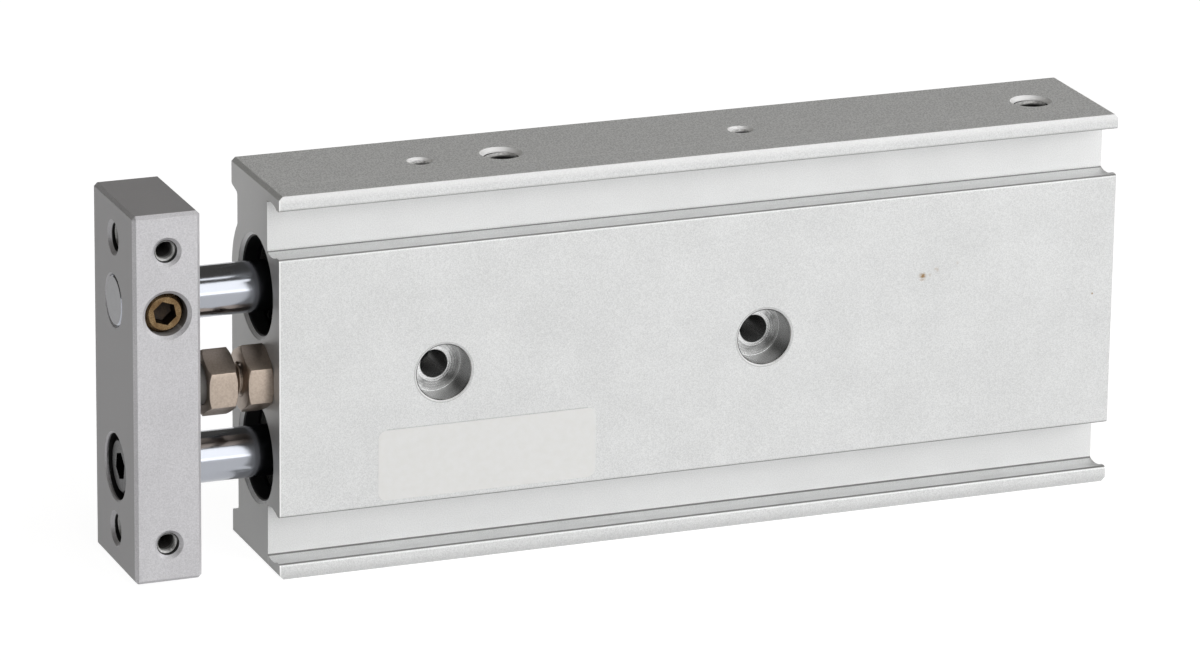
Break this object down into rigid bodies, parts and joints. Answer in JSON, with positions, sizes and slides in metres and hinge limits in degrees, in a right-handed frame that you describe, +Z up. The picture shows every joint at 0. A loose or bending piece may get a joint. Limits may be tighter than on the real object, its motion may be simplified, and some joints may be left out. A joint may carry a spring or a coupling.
{
  "type": "guided pneumatic cylinder",
  "caption": "Compact twin-rod guided pneumatic cylinder: an extruded body with sensor slots, two chromed rods, a tapped end plate and an adjustable stop bolt.",
  "frame": {"origin": "under the middle of the whole cylinder at rest, on the plane of its bottom face", "axes": "+X from the end plate towards the rear of the body, +Y out of the back face that is bolted to a panel, +Z up towards the face with the air ports"},
  "size_m": [0.122, 0.017, 0.046],
  "materials": {
    "anodised_aluminium": "clear anodised, satin",
    "turned_aluminium": "turned",
    "bearing_alloy": "bored bearing alloy",
    "hard_chrome": "ground and hard chromed",
    "nickel_plate": "nickel plated",
    "black_steel": "black oxide",
    "bronzed_steel": "dark heat-treated, oiled",
    "phosphated_steel": "phosphated spring steel",
    "polyurethane": "moulded, matt",
    "nitrile": "moulded, greased",
    "magnet": "plastic-bonded magnet"
  },
  "bodies": {
    "housing": {"housing": "anodised_aluminium", "stop_nut": "nickel_plate", "front_retaining_ring_upper": "phosphated_steel", "front_retaining_ring_lower": "phosphated_steel", "seal_retainer_upper": "turned_aluminium", "seal_retainer_lower": "turned_aluminium", "rod_seal_upper": "nitrile", "rod_seal_lower": "nitrile", "rod_cover_upper": "bearing_alloy", "rod_cover_lower": "bearing_alloy", "rod_cover_o_ring_upper": "nitrile", "rod_cover_o_ring_lower": "nitrile", "front_bumper_upper": "polyurethane", "front_bumper_lower": "polyurethane", "rear_bumper_upper": "polyurethane", "rear_bumper_lower": "polyurethane", "head_cover_upper": "turned_aluminium", "head_cover_lower": "turned_aluminium", "head_cover_o_ring_upper": "nitrile", "head_cover_o_ring_lower": "nitrile", "rear_retaining_ring_upper": "phosphated_steel", "rear_retaining_ring_lower": "phosphated_steel"},
    "carriage": {"plate": "anodised_aluminium", "plate_cap_screw": "black_steel", "rod_clamp_screw": "bronzed_steel", "piston_rod_upper": "hard_chrome", "piston_rod_lower": "hard_chrome", "piston_upper": "turned_aluminium", "piston_lower": "turned_aluminium", "piston_seal_upper": "nitrile", "piston_seal_lower": "nitrile", "magnet_upper": "magnet", "magnet_lower": "magnet"},
    "stop_pad": {"stop_pad": "polyurethane"},
    "stop_bolt": {"stop_bolt": "nickel_plate"}
  },
  "joints": [
    {"name": "stroke", "type": "slide", "parent": "housing", "child": "carriage", "axis": [-1, 0, 0], "range_m": [0, 0.05]},
    {"name": "stop_travel", "type": "slide", "parent": "housing", "child": "stop_pad", "axis": [1, 0, 0], "range_m": [0, 0.0012]},
    {"name": "stop_turn", "type": "hinge", "parent": "stop_pad", "child": "stop_bolt", "pos_m": [-0.05, -0.003, 0.023], "axis": [1, 0, 0], "range_deg": [0, 620]}
  ],
  "couplings": [
    {"joint": "stop_turn", "follows": "stop_travel", "rad_per_m": 8976}
  ]
}
